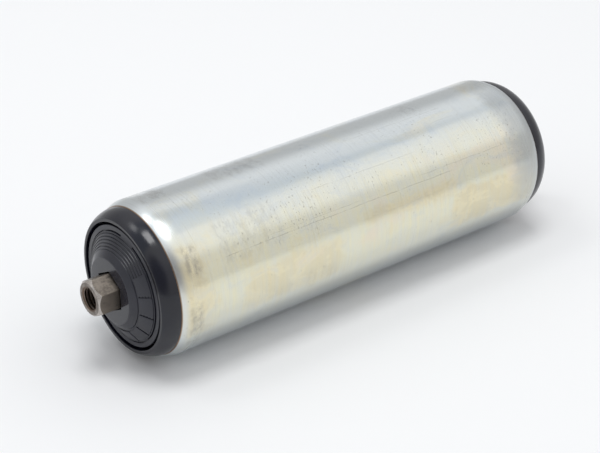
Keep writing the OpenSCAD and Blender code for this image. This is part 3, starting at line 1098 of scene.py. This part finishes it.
@dataclass(frozen=True)
class BearingHousing:
    """The moulded housing that plugs an end of the tube and carries the bearing.

    Attributes:
        lip_fall: How far the flange falls from the tube's edge to its lip.
        lip_width: Width of the flat lip.
        well_depth: Depth of the well inside the lip.
        wall: Thickness of the plug's two walls.
        web: Thickness of the web between them.
        shoulder: Thickness of the shoulder behind the bearing.
        shoulder_reach: How far the shoulder reaches in over the bearing.
        lead_in: How far the bearing's pocket widens to the well's floor.
        bead: How far the snap bead's crest lies outboard of the bearing and inside the pocket.
        gap: Gap round the bearing and round the plug.
        neck: How far the plug's neck lies inboard of the tube's edge and inside the sleeve.
        mouth: How far inside the sleeve the neck meets the tube's edge.
        ribs: Number of ribs between the two walls.
        rib_width: Width of a rib.
        ring_rib_height: Height of the labyrinth's rib over the well's floor.
        ring_rib_pitch_share: Share of the room from the pocket to the disc for one of its steps.
        ring_rib_share: Share of a step that its rib takes up.
        lip_ease: Rounding of the lip's outer corner.
        fine_ease: Rounding of the rib's and the lead-in's corners.
        ease: Rounding of most corners.
        wide_ease: Rounding of the web's and the plug's corners.
        rib_ease: Rounding of the ribs between the walls.
        ease_past: Angle in degrees past which their edges are rounded.
        flange_steps: Number of steps in the flange's arc.
    """

    lip_fall: float = 2.1 * MM
    lip_width: float = 1.05 * MM
    well_depth: float = 5.7 * MM
    wall: float = 2.0 * MM
    web: float = 2.6 * MM
    shoulder: float = 2.0 * MM
    shoulder_reach: float = 1.8 * MM
    lead_in: float = 0.3 * MM
    bead: tuple[float, float] = (0.55 * MM, 0.25 * MM)
    gap: float = 0.02 * MM
    neck: tuple[float, float] = (1.6 * MM, 0.75 * MM)
    mouth: float = 1.95 * MM
    ribs: int = 12
    rib_width: float = 1.2 * MM
    ring_rib_height: float = 3.15 * MM
    ring_rib_pitch_share: float = 0.4
    ring_rib_share: float = 0.57
    lip_ease: float = 0.12 * MM
    fine_ease: float = 0.1 * MM
    ease: float = 0.2 * MM
    wide_ease: float = 0.3 * MM
    rib_ease: float = 0.15 * MM
    ease_past: float = 60.0
    flange_steps: int = 16

    def sleeve_r(self) -> float:
        """Radius of the plug's outer wall, which fits the tube's bore."""
        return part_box("tube")[1].z - Tube.wall - self.gap

    def corners(self) -> list[Corner]:
        """Draws the section of the right end's housing.

        Returns:
            Its corners, from the flange round to the plug.
        """
        low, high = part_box(End.RIGHT.node("bearing_housing"))
        ring_low, ring_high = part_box(End.RIGHT.node("outer_ring"))
        disc_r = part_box(End.RIGHT.node("seal_disc"))[1].z
        tube_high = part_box("tube")[1]
        flange = (high.x - tube_high.x, self.lip_fall)
        radius = (flange[0] ** 2 + flange[1] ** 2) / (2 * self.lip_fall)
        lip_r = high.z - self.lip_fall
        well_r = lip_r - self.lip_width
        floor = high.x - self.well_depth
        pocket = ring_high.z + self.gap
        rib_pitch = self.ring_rib_pitch_share * (disc_r - pocket)
        rib_out = disc_r - rib_pitch
        rib_in = rib_out - self.ring_rib_share * rib_pitch
        rib_top = floor + self.ring_rib_height
        sleeve = self.sleeve_r()
        hollow = sleeve - self.wall
        behind = ring_low.x - self.shoulder
        shoulder_r = ring_high.z - self.shoulder_reach
        outside = arc(tube_high.x, high.z - radius, radius, 0.0, math.asin(flange[0] / radius),
                      self.flange_steps)
        outside[-1] = Corner(high.x, lip_r, self.lip_ease)
        return [
            *outside,
            Corner(high.x, well_r, self.ease),
            Corner(floor, well_r, self.ease),
            Corner(floor, rib_out),
            Corner(rib_top, rib_out, self.fine_ease),
            Corner(rib_top, rib_in, self.fine_ease),
            Corner(floor, rib_in),
            Corner(floor, pocket + self.lead_in, self.fine_ease),
            Corner(ring_high.x + self.bead[0], pocket - self.bead[1], self.ease),
            Corner(ring_high.x + self.gap, pocket),
            Corner(ring_low.x, pocket),
            Corner(ring_low.x, shoulder_r, self.ease),
            Corner(behind, shoulder_r, self.ease),
            Corner(behind, pocket + self.wall, self.ease),
            Corner(floor - self.web, pocket + self.wall, self.wide_ease),
            Corner(floor - self.web, hollow, self.wide_ease),
            Corner(low.x, hollow, self.ease),
            Corner(low.x, sleeve, self.wide_ease),
            Corner(tube_high.x - Tube.roll, sleeve),
            Corner(tube_high.x - self.neck[0], sleeve - self.neck[1]),
            Corner(tube_high.x, sleeve - self.mouth),
        ]

    def rib(self) -> bpy.types.Object:
        """Makes the top one of the ribs between the plug's two walls.

        Returns:
            The rib.
        """
        ring_low, ring_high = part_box(End.RIGHT.node("outer_ring"))
        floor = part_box(End.RIGHT.node("bearing_housing"))[1].x - self.well_depth
        inner = ring_high.z + self.wall / 2
        outer = self.sleeve_r() - self.wall / 2
        low, high = ring_low.x - self.shoulder, floor - self.web / 2
        bpy.ops.object.select_all(action="DESELECT")
        bpy.ops.mesh.primitive_cube_add(size=1.0, location=((low + high) / 2, 0, (inner + outer) / 2),
                                        scale=(high - low, self.rib_width, outer - inner))
        rib = settle(bpy.context.object, "rib")
        ease_edges(rib, self.rib_ease, self.ease_past)
        return rib

    def finish(self) -> Moulding:
        """The housing's finish, satin black."""
        return Moulding("housing_polyamide", (0.0052, 0.0058, 0.0115, 1.0), 0.2)

    def build(self) -> None:
        """Turns the right housing, ribs it, and copies it to the left end."""
        right = turn("bearing_housing_right", self.corners())
        ribs = [self.rib()]
        for i in range(1, self.ribs):
            ribs.append(copy_turned(ribs[0], f"rib_{i}", "X", i * FULL_TURN / self.ribs))
        join(right, ribs)
        smooth(right)
        wear(right, self.finish().material())
        left = copy_turned(right, "bearing_housing_left", "Z", HALF_TURN)
        for end, housing in ((End.LEFT, left), (End.RIGHT, right)):
            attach(housing, "roller")
            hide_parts(end.node("bearing_housing"))
            log.info("%s: %d faces", housing.name, len(housing.data.polygons))


@dataclass(frozen=True)
class SealDisc:
    """The seal disc that stands still on the shaft, with its hub, fine grooves and plain raised pads.

    Attributes:
        rim: Width of the plain rim.
        thickness: Thickness of the disc.
        cone_rise: Rise of the grooved cone from the rim to the hub's foot.
        hub_rise: Height of the hub over its foot.
        hub_r: Radius of the hub's face.
        hub_flare: How far the hub widens to its foot.
        foot_step: Height of the hair-thin step round the hub's foot.
        foot_nick: Depth of the nick beside that step, in heights of the step.
        foot_gap: Width of that nick.
        grooves: Number of fine grooves in the cone.
        groove_share: Share of their pitch that a groove takes up.
        groove_depth: Depth of a groove.
        rim_groove: Width of the groove beside the rim.
        rim_groove_depth: Its depth.
        bridge: Where that groove is left out, in degrees from the top.
        pads: Number of raised pads.
        pad_first: Middle of the first pad, in degrees from the top.
        pad_pitch: Angle in degrees from one pad to the next.
        pad_arc: Length of a pad in degrees.
        pad_height: How far a pad stands out of the cone.
        pad_margin: Grooves' pitches left free at each end of a pad.
        hole: Size of the hexagonal hole across its flats.
        rib_pitch: Step of the labyrinth.
        rib: Thickness of its ribs.
        rib_clearance: Gap between them and the well's floor.
        spigot_r: Radius of the spigot at the back.
        bore_r: Radius of the recess in it.
        bore_depth: Depth of that recess.
        hub_ease: Rounding of the hub's face.
        foot_ease: Rounding of the hub's foot and of the recess's bottom.
        groove_ease: Rounding of a groove's edges.
        bottom_ease: Rounding of a groove's bottom.
        rib_ease: Rounding of the labyrinth's ribs.
        ease: Rounding of most corners.
        wide_ease: Rounding of the corner between the back and the spigot.
        pad_ease: Rounding of the pads.
        ease_past: Angle in degrees past which their edges are rounded.
        smooth_below: Angle in degrees below which faces are shaded smooth.
        rim_steps: Number of steps in the groove beside the rim.
        pad_steps: Number of steps in a pad.
    """

    rim: float = 1.5 * MM
    thickness: float = 1.6 * MM
    cone_rise: float = 3.0 * MM
    hub_rise: float = 1.65 * MM
    hub_r: float = 10.6 * MM
    hub_flare: float = 2.1 * MM
    foot_step: float = 0.12 * MM
    foot_nick: float = 1.5
    foot_gap: float = 0.03 * MM
    grooves: int = 5
    groove_share: float = 0.42
    groove_depth: float = 0.3 * MM
    rim_groove: float = 0.42 * MM
    rim_groove_depth: float = 0.75 * MM
    bridge: tuple[float, float] = (2.0, 22.0)
    pads: int = 5
    pad_first: float = 62.5
    pad_pitch: float = 25.0
    pad_arc: float = 23.0
    pad_height: float = 0.28 * MM
    pad_margin: float = 0.75
    hole: float = 12.0 * MM
    rib_pitch: float = 1.392 * MM
    rib: float = 0.793 * MM
    rib_clearance: float = 0.6 * MM
    spigot_r: float = 9.6 * MM
    bore_r: float = 7.5 * MM
    bore_depth: float = 4.0 * MM
    hub_ease: float = 0.25 * MM
    foot_ease: float = 0.1 * MM
    groove_ease: float = 0.06 * MM
    bottom_ease: float = 0.05 * MM
    rib_ease: float = 0.15 * MM
    ease: float = 0.2 * MM
    wide_ease: float = 0.3 * MM
    pad_ease: float = 0.08 * MM
    ease_past: float = 50.0
    smooth_below: float = 35.0
    rim_steps: int = 170
    pad_steps: int = 12

    @cached_property
    def box(self) -> tuple[Vector, Vector]:
        """The lowest and highest corners of the right end's packed disc."""
        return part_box(End.RIGHT.node("seal_disc"))

    @property
    def outer_r(self) -> float:
        """Radius of the disc."""
        return self.box[1].z

    @property
    def hub_face(self) -> float:
        """Place of the hub's face along the axis."""
        return self.box[1].x

    @property
    def rim_face(self) -> float:
        """Place of the rim's face along the axis."""
        return self.hub_face - self.hub_rise - self.cone_rise

    @property
    def rim_in_r(self) -> float:
        """Inner radius of the rim."""
        return self.outer_r - self.rim

    @property
    def foot_r(self) -> float:
        """Radius of the hub's foot."""
        return self.hub_r + self.hub_flare

    @property
    def open_r(self) -> float:
        """Radius that the turned blank leaves open, well inside the hexagonal hole."""
        return self.hole / 4

    def cone_at(self, r: float) -> float:
        """Height of the grooved cone's face at a radius."""
        return self.rim_face + self.cone_rise * (self.rim_in_r - r) / (self.rim_in_r - self.foot_r)

    @property
    def groove_pitch(self) -> float:
        """Distance from one fine groove to the next."""
        return (self.rim_in_r - self.foot_r) / (self.grooves + 1)

    def front(self) -> list[Corner]:
        """Draws the disc's front.

        Returns:
            Its corners, from the hub's face out to the rim.
        """
        half = self.groove_share * self.groove_pitch / 2
        foot = self.rim_face + self.cone_rise
        beside = self.foot_r + 2 * self.foot_step
        corners = [
            Corner(self.hub_face, self.hub_r, self.hub_ease),
            Corner(foot + self.foot_step, self.foot_r, self.foot_ease),
            Corner(foot - self.foot_nick * self.foot_step, self.foot_r + self.foot_gap),
            Corner(self.cone_at(beside), beside, self.bottom_ease),
        ]
        for i in range(self.grooves, 0, -1):
            r = self.rim_in_r - i * self.groove_pitch
            bottom = self.cone_at(r) - self.groove_depth
            corners += [
                Corner(self.cone_at(r - half), r - half, self.groove_ease),
                Corner(bottom, r - half / 2, self.bottom_ease),
                Corner(bottom, r + half / 2, self.bottom_ease),
                Corner(self.cone_at(r + half), r + half, self.groove_ease),
            ]
        rim_edge = Corner(self.rim_face, self.outer_r, self.ease)
        return [*corners, Corner(self.rim_face, self.rim_in_r), rim_edge]

    def corners(self) -> list[Corner]:
        """Draws the section of the right end's disc.

        Returns:
            Its corners, with its skirt, rib and spigot.
        """
        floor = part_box(End.RIGHT.node("bearing_housing"))[1].x - BearingHousing.well_depth
        rib_end = floor + self.rib_clearance
        rim_back = self.rim_face - self.thickness
        slope = self.cone_rise / (self.rim_in_r - self.foot_r)
        inner_rib = self.outer_r - 2 * self.rib_pitch
        back = self.box[0].x
        nose = back + self.bore_depth

        def behind(r: float) -> float:
            """Place of the cone's back at a radius."""
            return rim_back + (self.rim_in_r - r) * slope

        return [
            Corner(self.hub_face, self.open_r),
            *self.front(),
            Corner(rib_end, self.outer_r, self.rib_ease),
            Corner(rib_end, self.outer_r - self.rib, self.rib_ease),
            Corner(rim_back, self.outer_r - self.rib, self.ease),
            Corner(rim_back, self.rim_in_r),
            Corner(behind(inner_rib), inner_rib),
            Corner(rib_end, inner_rib, self.rib_ease),
            Corner(rib_end, inner_rib - self.rib, self.rib_ease),
            Corner(behind(inner_rib - self.rib), inner_rib - self.rib),
            Corner(behind(self.spigot_r), self.spigot_r, self.wide_ease),
            Corner(back, self.spigot_r, self.ease),
            Corner(back, self.bore_r, self.ease),
            Corner(nose, self.bore_r, self.foot_ease),
            Corner(nose, self.open_r),
        ]

    def rim_cutter(self) -> bpy.types.Object:
        """Turns the tool for the groove beside the rim.

        Returns:
            The tool, which stops at the bridge.
        """
        low, high = self.rim_face - self.rim_groove_depth, self.rim_face + MM
        inner = self.rim_in_r - self.rim_groove
        outer = self.rim_in_r
        ring = [Corner(low, inner), Corner(high, inner), Corner(high, outer), Corner(low, outer)]
        start, stop = self.bridge
        return turn("rim_cutter", ring, steps=self.rim_steps, at=math.radians(stop),
                    sweep=math.radians(FULL_TURN - stop + start))

    def hex_cutter(self) -> bpy.types.Object:
        """The tool for the hexagonal hole through the hub."""
        return hex_bar("hex_cutter", self.hole, self.box[0].x + MM, self.hub_face + MM)

    def pad(self) -> bpy.types.Object:
        """Makes the first of the raised pads.

        Returns:
            The pad.
        """
        inner = self.foot_r + self.pad_margin * self.groove_pitch
        outer = self.rim_in_r - self.pad_margin * self.groove_pitch
        sink = self.thickness / 2
        ring = [
            Corner(self.cone_at(inner) - sink, inner),
            Corner(self.cone_at(inner) + self.pad_height, inner),
            Corner(self.cone_at(outer) + self.pad_height, outer),
            Corner(self.cone_at(outer) - sink, outer),
        ]
        pad = turn("pad", ring, steps=self.pad_steps, sweep=math.radians(self.pad_arc),
                   at=math.radians(self.pad_first - self.pad_arc / 2))
        ease_edges(pad, self.pad_ease, self.ease_past)
        return pad

    def finish(self) -> Moulding:
        """The disc's finish, matt outside the hub's face."""
        return Moulding("seal_polyamide", (0.0145, 0.0153, 0.0230, 1.0), 0.33, polished=self.hub_r)

    def build(self) -> None:
        """Turns the right disc, cuts it, raises its pads, and copies it to the left end."""
        right = turn("seal_disc_right", self.corners())
        combine(right, self.rim_cutter(), "DIFFERENCE")
        combine(right, self.hex_cutter(), "DIFFERENCE")
        pads = [self.pad()]
        for i in range(1, self.pads):
            pads.append(copy_turned(pads[0], f"pad_{i}", "X", i * self.pad_pitch))
        join(right, pads)
        smooth(right, self.smooth_below)
        wear(right, self.finish().material())
        left = copy_turned(right, "seal_disc_left", "Z", HALF_TURN)
        for end, disc in ((End.LEFT, left), (End.RIGHT, right)):
            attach(disc, "shaft")
            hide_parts(end.node("seal_disc"))
            log.info("%s: %d faces", disc.name, len(disc.data.polygons))


@dataclass(frozen=True)
class Shaft:
    """The fixed hexagonal shaft, with chamfered ends, clip grooves and threaded holes.

    Attributes:
        flats: Its size across the flats.
        face_inset: How far an end face is smaller than the flats, on the radius.
        edge_ease: Rounding of its long edges.
        ease_past: Angle in degrees past which an edge is rounded.
        core: Core radius of the threaded holes.
        pitch: Pitch of the threads.
        thread_depth: Depth of the holes, without their drill points.
        thread_size: Radius of the triangle that cuts the threads.
        thread_rise: Share of it that the triangle's middle lies outside the core.
        thread_steps: Number of steps in a turn of the threads.
        drill_point: Depth of the drill points, in radii of the core.
        mouth: Depth of the holes' countersunk mouths.
        hole_steps: Number of steps round the holes.
        groove_r: Radius of the bottom of the clips' grooves.
        groove_width: Width of these grooves.
    """

    flats: float = 11.0 * MM
    face_inset: float = 0.35 * MM
    edge_ease: float = 0.2 * MM
    ease_past: float = 50.0
    core: float = 3.4 * MM
    pitch: float = 1.25 * MM
    thread_depth: float = 20.0 * MM
    thread_size: float = 0.5 * MM
    thread_rise: float = 0.3
    thread_steps: int = 48
    drill_point: float = 0.6
    mouth: float = 0.4 * MM
    hole_steps: int = 96
    groove_r: float = 5.7 * MM
    groove_width: float = 1.1 * MM

    @property
    def face_r(self) -> float:
        """Radius of the end faces."""
        return self.flats / 2 - self.face_inset

    def blank(self) -> bpy.types.Object:
        """Turns a bar whose cone-shaped ends chamfer the hexagon.

        Returns:
            The bar.
        """
        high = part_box("shaft")[1]
        wide = high.z + MM
        cone = high.x - (wide - self.face_r)
        return turn("blank", [
            Corner(high.x, TINY), Corner(high.x, self.face_r), Corner(cone, wide),
            Corner(-cone, wide), Corner(-high.x, self.face_r), Corner(-high.x, TINY)])

    def hole_cutter(self) -> bpy.types.Object:
        """Turns the tool for the right end's hole.

        Returns:
            The tool, with its drill point and countersunk mouth.
        """
        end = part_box("shaft")[1].x
        bottom = end - self.thread_depth
        return turn("hole_cutter", [
            Corner(bottom - self.core * self.drill_point, TINY), Corner(bottom, self.core),
            Corner(end - self.mouth, self.core), Corner(end + self.mouth, self.core + 2 * self.mouth),
            Corner(end + self.mouth, TINY)], steps=self.hole_steps)

    def thread_cutter(self) -> bpy.types.Object:
        """Winds the tool for the right end's thread.

        Returns:
            The tool, a triangle wound into a helix.
        """
        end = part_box("shaft")[1].x
        sides = 3
        turns = round(self.thread_depth / self.pitch) + 1
        bpy.ops.object.select_all(action="DESELECT")
        bpy.ops.mesh.primitive_circle_add(
            vertices=sides, radius=self.thread_size, rotation=(math.pi / 2, 0, 0),
            location=(end + self.pitch - turns * self.pitch, 0,
                      self.core + self.thread_rise * self.thread_size))
        helix = settle(bpy.context.object, "thread_cutter")
        screw = helix.modifiers.new("Screw", "SCREW")
        screw.axis = "X"
        screw.screw_offset = self.pitch
        screw.iterations = turns
        screw.steps = screw.render_steps = self.thread_steps
        bpy.ops.object.modifier_apply(modifier=screw.name)
        with shaping(helix):
            bpy.ops.mesh.select_all(action="SELECT")
            bpy.ops.mesh.remove_doubles(threshold=TINY)
            bpy.ops.mesh.fill_holes(sides=sides)
            bpy.ops.mesh.normals_make_consistent(inside=False)
        return helix

    def clip_cutter(self) -> bpy.types.Object:
        """Turns the tool for the right end's groove for the retaining clip.

        Returns:
            The tool.
        """
        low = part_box(End.RIGHT.node("retaining_clip"))[0].x
        high = low + self.groove_width
        wide = self.flats
        return turn("clip_cutter", [
            Corner(low, self.groove_r), Corner(low, wide),
            Corner(high, wide), Corner(high, self.groove_r)])

    def build(self) -> None:
        """Chamfers and bores the hexagonal bar and dresses it."""
        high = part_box("shaft")[1]
        shaft = hex_bar("hex_shaft", self.flats, -high.x, high.x)
        ease_edges(shaft, self.edge_ease, self.ease_past)
        combine(shaft, self.blank(), "INTERSECT")
        for tool in (self.hole_cutter, self.thread_cutter, self.clip_cutter):
            cutter = tool()
            opposite = copy_turned(cutter, "opposite", "Z", HALF_TURN)
            combine(shaft, cutter, "DIFFERENCE")
            combine(shaft, opposite, "DIFFERENCE")
        smooth(shaft)
        mouth_r = self.core + self.mouth
        wear(shaft, BareSteel().material(high.x, self.face_r, self.core, mouth_r))
        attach(shaft, "shaft")
        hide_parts("shaft")
        log.info("shaft: %d faces", len(shaft.data.polygons))


@dataclass(frozen=True)
class RunningGear:
    """The bearings, bushes and clips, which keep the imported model's own meshes.

    Attributes:
        split_past: Angle in degrees past which an edge between faces shows.
    """

    split_past: float = 30.0

    def finishes(self) -> dict[str, bpy.types.Material]:
        """Makes the material of each part.

        Returns:
            The materials, by the part's name.
        """
        ground = PlainSteel("ground_steel", (0.62, 0.63, 0.65, 1.0), 0.22, 2400).material()
        pressed = PlainSteel("pressed_steel", (0.52, 0.53, 0.55, 1.0), 0.35, 300).material()
        blackened = PlainSteel("blackened_steel", (0.14, 0.14, 0.15, 1.0), 0.45, 900).material()
        return {
            "outer_ring": ground,
            "inner_ring": ground,
            "balls": PlainSteel("polished_steel", (0.75, 0.76, 0.78, 1.0), 0.08, 200).material(),
            "cage": Moulding("cage_polyamide", (0.04, 0.11, 0.24, 1.0), 0.45).material(),
            "outboard_shield": pressed,
            "inboard_shield": pressed,
            "hex_bush": Moulding("bush_acetal", (0.62, 0.59, 0.50, 1.0), 0.4).material(),
            "retaining_clip": blackened,
        }

    def smooth_node(self, node: bpy.types.Object) -> None:
        """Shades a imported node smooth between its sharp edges, without touching its mesh's shape.

        Args:
            node: The node.
        """
        node.data.polygons.foreach_set("use_smooth", [True] * len(node.data.polygons))
        weld = node.modifiers.new("Weld", "WELD")
        weld.merge_threshold = TINY
        split = node.modifiers.new("Split", "EDGE_SPLIT")
        split.split_angle = math.radians(self.split_past)

    def build(self) -> None:
        """Dresses the inner parts of both ends."""
        for part, material in self.finishes().items():
            for end in End:
                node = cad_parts[end.node(part)]
                wear(node, material)
                self.smooth_node(node)
            log.info("%s: dressed at both ends", part)


# ---------------------------------------------------------------- studio


@dataclass(frozen=True)
class Softbox:
    """A soft rectangular light that hangs level and shines down.

    Attributes:
        name: Name of the light.
        centre: Where it hangs.
        size: Its length along X and its width along Y.
        radiance: Its brightness.
    """

    name: str
    centre: tuple[float, float, float]
    size: tuple[float, float]
    radiance: float

    def hang(self) -> None:
        """Makes the light."""
        light = bpy.data.lights.new(self.name, "AREA")
        light.shape = "RECTANGLE"
        light.size, light.size_y = self.size
        light.energy = POWER_PER_RADIANCE * self.radiance * self.size[0] * self.size[1]
        obj = bpy.data.objects.new(self.name, light)
        bpy.context.collection.objects.link(obj)
        obj.location = self.centre


@dataclass(frozen=True)
class Viewpoint:
    """Where the camera stands, by the direction and distance of what it looks at.

    Attributes:
        target: What it looks at.
        azimuth: Its direction from there in degrees, from the front towards the right.
        elevation: Its height over the level in degrees.
        distance: Its distance.
        lens: Its focal length in millimetres.
        sensor: Width of its sensor in millimetres.
    """

    target: tuple[float, float, float] = (-8.25 * MM, 3.14 * MM, -4.89 * MM)
    azimuth: float = -37.96
    elevation: float = 29.32
    distance: float = 548.4 * MM
    lens: float = 101.15
    sensor: float = 36.0

    def stand(self) -> None:
        """Makes the camera and the scene's use of it."""
        data = bpy.data.cameras.new("camera")
        data.lens = self.lens
        data.sensor_width = self.sensor
        camera = bpy.data.objects.new("camera", data)
        bpy.context.collection.objects.link(camera)
        turned, lifted = math.radians(self.azimuth), math.radians(self.elevation)
        away = Vector((math.sin(turned) * math.cos(lifted), -math.cos(turned) * math.cos(lifted),
                       math.sin(lifted)))
        camera.location = Vector(self.target) + self.distance * away
        camera.rotation_euler = away.to_track_quat("Z", "Y").to_euler()
        bpy.context.scene.camera = camera


@dataclass(frozen=True)
class Studio:
    """A plain pale floor under soft light.

    Attributes:
        floor_size: Length of the floor's sides.
        floor_colour: Its colour.
        floor_roughness: How dull it is.
        floor_specular: How much it shines.
        air: Brightness of the air beyond the roller's ends.
        ends: Where along the roller's direction that air takes over.
        bands: Angle in degrees from the top towards the front, and brightness of the air there.
        gap_angle: Angle of the dark gap over the roller.
        gap_reach: Its half width in degrees, less towards the right.
        gap_soft: Width of its soft edges in degrees.
        gap_shown: How much of it shows, less towards the right.
        gap_colour: Its colour.
        dim_towards: Direction of the dim patch of air.
        dim_edge: How nearly a direction has to be that one to be dim.
        dim_colour: Its colour.
        lights: The lights that hang over the roller.
    """

    floor_size: float = 6.0
    floor_colour: Colour = (0.88, 0.88, 0.88, 1.0)
    floor_roughness: float = 0.8
    floor_specular: float = 0.1
    air: float = 0.72
    ends: Fade = Fade(0.7, 0.92)
    bands: tuple[tuple[float, float], ...] = (
        (-90.0, 0.60), (-64.0, 0.60), (-38.0, 0.95), (-20.0, 0.95),
        (14.0, 1.04), (40.0, 1.05), (58.0, 0.80), (90.0, 0.75),
    )
    gap_angle: float = -7.3
    gap_reach: Fade = Fade(0.46, 0.58, 19.0, 3.5)
    gap_soft: float = 4.0
    gap_shown: Fade = Fade(0.57, 0.66, 1.0, 0.15)
    gap_colour: Colour = (0.60, 0.65, 0.71, 1.0)
    dim_towards: tuple[float, float, float] = (-0.54, -0.72, 0.42)
    dim_edge: Fade = Fade(0.78, 0.97)
    dim_colour: Colour = (0.26, 0.26, 0.28, 1.0)
    lights: tuple[Softbox, ...] = (
        Softbox("key", (-0.03, -0.05, 1.2), (0.5, 0.42), 5.5),
        Softbox("side_key", (-0.4, 0.56, 1.2), (0.4, 0.3), 2.8),
    )

    def fill_air(self) -> None:
        """Fills the air with soft light in bands along the roller, with a dark gap over its top."""
        world = bpy.data.worlds.new("air")
        world.use_nodes = True
        sky = Nodes(world.node_tree, "Generated")
        x, y, z = sky.axes()
        degrees = sky.degrees()
        banded = sky.nodes.new("ShaderNodeValToRGB")
        banded.color_ramp.interpolation = "EASE"
        points = banded.color_ramp.elements
        while len(points) < len(self.bands):
            points.new(0.5)
        for point, (angle, brightness) in zip(points, self.bands):
            point.position = 0.5 + angle / FULL_TURN
            point.color = (brightness, brightness, brightness, 1.0)
        sky.plug(banded.inputs["Fac"], sky.math("MULTIPLY_ADD", degrees, 1 / FULL_TURN, 0.5))
        gap = sky.hump(degrees, self.gap_angle, sky.ramp(x, self.gap_reach), self.gap_soft)
        gap = sky.math("MULTIPLY", gap, sky.ramp(x, self.gap_shown))
        light = sky.mix(gap, banded.outputs["Color"], self.gap_colour)
        aside = sky.ramp(sky.math("ABSOLUTE", x), self.ends)
        light = sky.mix(aside, light, (self.air, self.air, self.air, 1.0))
        ahead: Level = 0.0
        for part, share in zip((x, y, z), self.dim_towards):
            ahead = sky.math("MULTIPLY_ADD", part, share, ahead)
        light = sky.mix(sky.ramp(ahead, self.dim_edge), light, self.dim_colour)
        sky.plug(sky.nodes["Background"].inputs["Color"], light)
        bpy.context.scene.world = world

    def build(self) -> None:
        """Lays the floor, fills the air with light, hangs the lights and stands the camera."""
        bpy.ops.object.select_all(action="DESELECT")
        bpy.ops.mesh.primitive_plane_add(size=self.floor_size, location=(0, 0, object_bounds()[0].z))
        floor = settle(bpy.context.object, "floor")
        paint = Paint("floor_card")
        paint.set(base_color=self.floor_colour, roughness=self.floor_roughness,
                  specular_ior_level=self.floor_specular)
        wear(floor, paint.material)
        floor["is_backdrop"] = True
        self.fill_air()
        bpy.context.scene.view_settings.view_transform = "Standard"
        for light in self.lights:
            light.hang()
        Viewpoint().stand()
        log.info("studio: %d lights", len(self.lights))


def main() -> None:
    """Builds the roller's parts in order, then the studio."""
    logging.basicConfig(level=logging.INFO, format="%(message)s")
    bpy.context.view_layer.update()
    Tube().build()
    BearingHousing().build()
    SealDisc().build()
    Shaft().build()
    RunningGear().build()
    Studio().build()


if __name__ == "__main__":
    main()
